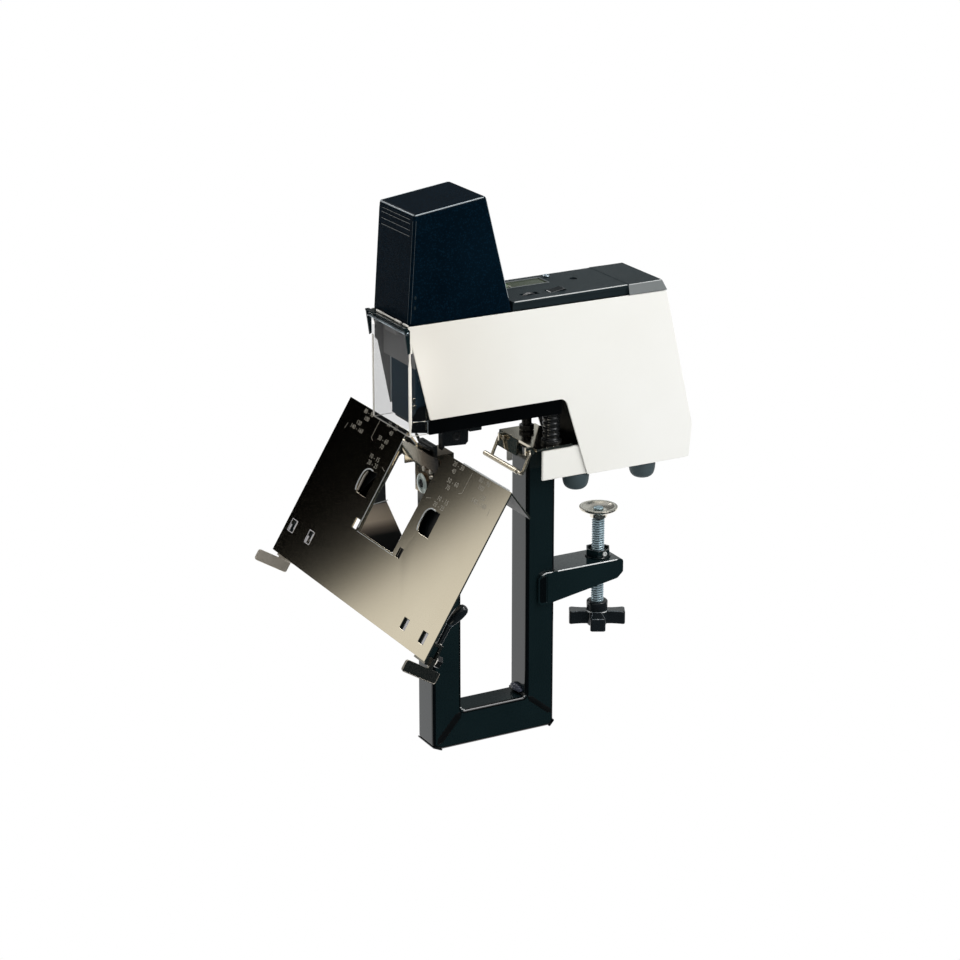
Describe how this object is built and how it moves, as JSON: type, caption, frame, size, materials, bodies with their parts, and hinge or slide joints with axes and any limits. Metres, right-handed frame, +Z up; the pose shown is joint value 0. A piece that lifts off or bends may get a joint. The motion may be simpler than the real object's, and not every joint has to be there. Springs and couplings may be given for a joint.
{
  "type": "electric stapler",
  "caption": "Electric saddle stapler clamped to a desk edge: tall driving head over an anvil, sloped folding table with side stops, square-tube frame and screw clamp.",
  "frame": {"origin": "on the rear face of the rear frame post (y = 0), in the centre plane (x = 0), at the level of the soles of the rubber feet, which is the desk top (z = 0): the front edge of the desk touches the post there", "axes": "+Z up, -Y to the front where the operator sits and the stapling head is, +X to the flank with the lock lever and the main switch; the clamp screw, the driver and the frame posts run along Z"},
  "size_m": [0.3108, 0.3615, 0.5207],
  "materials": {
    "black_paint": "gloss powder coat",
    "black_plastic": "fine moulded texture, semi-gloss",
    "charcoal_plastic": "fine moulded texture, matt",
    "white_paint": "smooth satin enamel",
    "nickel": "bright nickel plate",
    "zinc": "bright zinc plate",
    "steel": "oiled steel",
    "rubber": "matt moulded rubber",
    "clear_polycarbonate": "clear, polished",
    "copper_winding": "enamelled copper wire",
    "circuit_board": "solder mask",
    "olive_window": "tinted film",
    "black_oxide": "black oxide"
  },
  "bodies": {
    "base": {"u_frame": "black_paint", "clamp_bracket": "black_paint", "clamp_nut": "steel", "foot_front_left": "rubber", "foot_front_right": "rubber", "foot_rear_left": "rubber", "foot_rear_right": "rubber", "base_tray": "white_paint", "post_bracket": "nickel", "post_bolt": "black_oxide", "cable_conduit": "rubber", "side_panel_left": "white_paint", "side_panel_right": "white_paint", "rear_panel": "white_paint", "mains_inlet": "black_plastic", "fuse_holder": "black_plastic", "notch_liner": "black_paint", "arm_channel": "black_paint", "tower_cover": "black_plastic", "deck_cover": "charcoal_plastic", "indicator_window": "olive_window", "deck_screw": "zinc", "guard_bracket": "black_paint", "guard_pin": "zinc", "head_cover": "black_plastic", "driver_guide": "steel", "return_spring": "steel", "solenoid_yoke": "steel", "solenoid_coil": "copper_winding", "magazine_rail": "steel", "staple_strip": "zinc", "chassis_left": "steel", "chassis_right": "steel", "control_board": "circuit_board", "transformer": "steel", "tilt_pin": "zinc", "anvil_carrier": "nickel", "anvil": "nickel"},
    "clamp_foot": {"clamp_pad": "nickel"},
    "clamp_spindle": {"clamp_screw": "zinc", "clamp_knob": "black_plastic"},
    "guard": {"guard_shield": "clear_polycarbonate"},
    "saddle": {"saddle_plate": "nickel", "saddle_gusset_left": "nickel", "saddle_gusset_right": "nickel", "stop_rail": "black_paint"},
    "stop_left_body": {"stop_left": "nickel"},
    "stop_right_body": {"stop_right": "nickel", "lock_nut": "zinc"},
    "lock_lever_body": {"lock_lever": "black_oxide"},
    "bail": {"wire_bail": "nickel"},
    "pusher": {"magazine_pusher": "black_plastic"},
    "latch": {"magazine_latch": "black_plastic"},
    "driver": {"driver_blade": "steel", "driver_ram": "steel", "plunger": "steel"},
    "rocker": {"main_switch": "black_plastic"},
    "wheel": {"force_wheel": "black_plastic"},
    "button": {"reset_button": "black_plastic"},
    "trigger": {"paper_trigger": "black_oxide"}
  },
  "joints": [
    {"name": "clamp_travel", "type": "slide", "parent": "base", "child": "clamp_foot", "axis": [0, 0, 1], "range_m": [-0.034, 0.018]},
    {"name": "clamp_turn", "type": "hinge", "parent": "clamp_foot", "child": "clamp_spindle", "pos_m": [0, 0.0548, -0.1], "axis": [0, 0, 1], "range_deg": [-7000, 3710]},
    {"name": "guard_hinge", "type": "hinge", "parent": "base", "child": "guard", "pos_m": [0, -0.1618, 0.1734], "axis": [-1, 0, 0], "range_deg": [0, 75]},
    {"name": "saddle_tilt", "type": "hinge", "parent": "base", "child": "saddle", "pos_m": [0, -0.1206, 0.0384], "axis": [-1, 0, 0], "range_deg": [0, 58.6]},
    {"name": "stop_left_slide", "type": "slide", "parent": "saddle", "child": "stop_left_body", "axis": [1, 0, 0], "range_m": [0, 0.095]},
    {"name": "stop_right_slide", "type": "slide", "parent": "saddle", "child": "stop_right_body", "axis": [-1, 0, 0], "range_m": [0, 0.095]},
    {"name": "lock_lever_turn", "type": "hinge", "parent": "stop_right_body", "child": "lock_lever_body", "pos_m": [0.1385, -0.19244, -0.08523], "axis": [0, 0.8536, -0.521], "range_deg": [0, 70]},
    {"name": "bail_hinge", "type": "hinge", "parent": "base", "child": "bail", "pos_m": [0, -0.0348, 0.0432], "axis": [-1, 0, 0], "range_deg": [-15, 60]},
    {"name": "pusher_slide", "type": "slide", "parent": "base", "child": "pusher", "axis": [0, 1, 0], "range_m": [0, 0.064], "stiffness_N_per_m": 30, "springref_m": -0.1},
    {"name": "latch_press", "type": "slide", "parent": "base", "child": "latch", "axis": [0, 0, 1], "range_m": [0, 0.003], "stiffness_N_per_m": 500, "springref_m": -0.002},
    {"name": "driver_slide", "type": "slide", "parent": "base", "child": "driver", "axis": [0, 0, 1], "range_m": [-0.014, 0], "stiffness_N_per_m": 400, "springref_m": 0.01, "deforming": ["return_spring"]},
    {"name": "switch_rock", "type": "hinge", "parent": "base", "child": "rocker", "pos_m": [0.0175, -0.0036, 0.183], "axis": [-1, 0, 0], "range_deg": [0, 12]},
    {"name": "force_wheel_turn", "type": "hinge", "parent": "base", "child": "wheel", "pos_m": [0.0172, -0.0302, 0.1784], "axis": [1, 0, 0], "range_deg": [-135, 135]},
    {"name": "reset_press", "type": "slide", "parent": "base", "child": "button", "axis": [0, 0, -1], "range_m": [0, 0.002], "stiffness_N_per_m": 800, "springref_m": -0.001},
    {"name": "trigger_swing", "type": "hinge", "parent": "base", "child": "trigger", "pos_m": [-0.019, -0.112, 0.036], "axis": [-1, 0, 0], "range_deg": [0, 12], "stiffness_Nm_per_rad": 0.05, "springref_deg": -17.19}
  ],
  "couplings": [
    {"joint": "clamp_turn", "follows": "clamp_travel", "rad_per_m": 3590.4}
  ]
}
